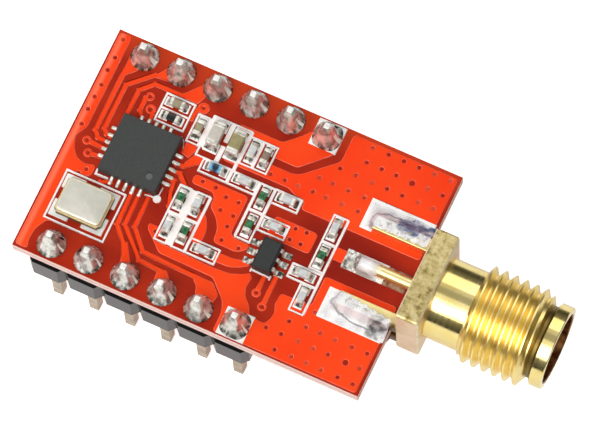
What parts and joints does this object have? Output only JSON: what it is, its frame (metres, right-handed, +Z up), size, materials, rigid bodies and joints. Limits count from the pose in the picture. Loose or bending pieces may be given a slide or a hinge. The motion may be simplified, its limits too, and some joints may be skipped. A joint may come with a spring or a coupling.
{
  "type": "rf transceiver module",
  "caption": "Small red radio circuit board on two rows of header pins, with a threaded coaxial socket on its end.",
  "frame": {"origin": "centre of the pin grid, at the underside of the header plastic, where the module seats", "axes": "+X along the board to the coaxial connector, +Y to the rear pin row, +Z up out of the board's component side"},
  "size_m": [0.0339, 0.0162, 0.0133],
  "materials": {
    "red_laminate": "glass-filled laminate under red solder mask",
    "header_plastic": "black moulded",
    "pin_metal": "gold flashed",
    "solder": "bright cooled solder",
    "chip_moulding": "dark grey moulding compound",
    "tinned_copper": "tinned",
    "crystal_ceramic": "dark sintered",
    "crystal_lid_metal": "satin",
    "capacitor_ceramic": "sintered, tinned ends",
    "inductor_ceramic": "sintered, tinned ends",
    "resistor_ceramic": "glazed top, tinned ends",
    "gold_plated_brass": "gold plated, turned",
    "insulator_white": "turned fluoropolymer"
  },
  "bodies": {
    "root": {"antenna_switch_body": "chip_moulding", "antenna_switch_leads": "tinned_copper", "capacitor_1": "capacitor_ceramic", "capacitor_10": "capacitor_ceramic", "capacitor_11": "capacitor_ceramic", "capacitor_12": "capacitor_ceramic", "capacitor_13": "capacitor_ceramic", "capacitor_14": "capacitor_ceramic", "capacitor_15": "capacitor_ceramic", "capacitor_2": "capacitor_ceramic", "capacitor_3": "capacitor_ceramic", "capacitor_4": "capacitor_ceramic", "capacitor_5": "capacitor_ceramic", "capacitor_6": "capacitor_ceramic", "capacitor_7": "capacitor_ceramic", "capacitor_8": "capacitor_ceramic", "capacitor_9": "capacitor_ceramic", "circuit_board": "red_laminate", "coax_connector_body": "gold_plated_brass", "coax_connector_contact": "gold_plated_brass", "coax_connector_insulator": "insulator_white", "connector_ground_solder": "solder", "connector_signal_solder": "solder", "crystal_base": "crystal_ceramic", "crystal_lid": "crystal_lid_metal", "header_housing_front": "header_plastic", "header_housing_rear": "header_plastic", "header_pin_front_1": "pin_metal", "header_pin_front_2": "pin_metal", "header_pin_front_3": "pin_metal", "header_pin_front_4": "pin_metal", "header_pin_front_5": "pin_metal", "header_pin_front_6": "pin_metal", "header_pin_rear_1": "pin_metal", "header_pin_rear_2": "pin_metal", "header_pin_rear_3": "pin_metal", "header_pin_rear_4": "pin_metal", "header_pin_rear_5": "pin_metal", "header_pin_rear_6": "pin_metal", "inductor_1": "inductor_ceramic", "inductor_2": "inductor_ceramic", "inductor_3": "inductor_ceramic", "inductor_4": "inductor_ceramic", "inductor_5": "inductor_ceramic", "inductor_6": "inductor_ceramic", "resistor_1": "resistor_ceramic", "solder_joint_front_1": "solder", "solder_joint_front_2": "solder", "solder_joint_front_3": "solder", "solder_joint_front_4": "solder", "solder_joint_front_5": "solder", "solder_joint_front_6": "solder", "solder_joint_rear_1": "solder", "solder_joint_rear_2": "solder", "solder_joint_rear_3": "solder", "solder_joint_rear_4": "solder", "solder_joint_rear_5": "solder", "solder_joint_rear_6": "solder", "transceiver_chip_body": "chip_moulding", "transceiver_chip_pads": "tinned_copper"}
  },
  "joints": []
}
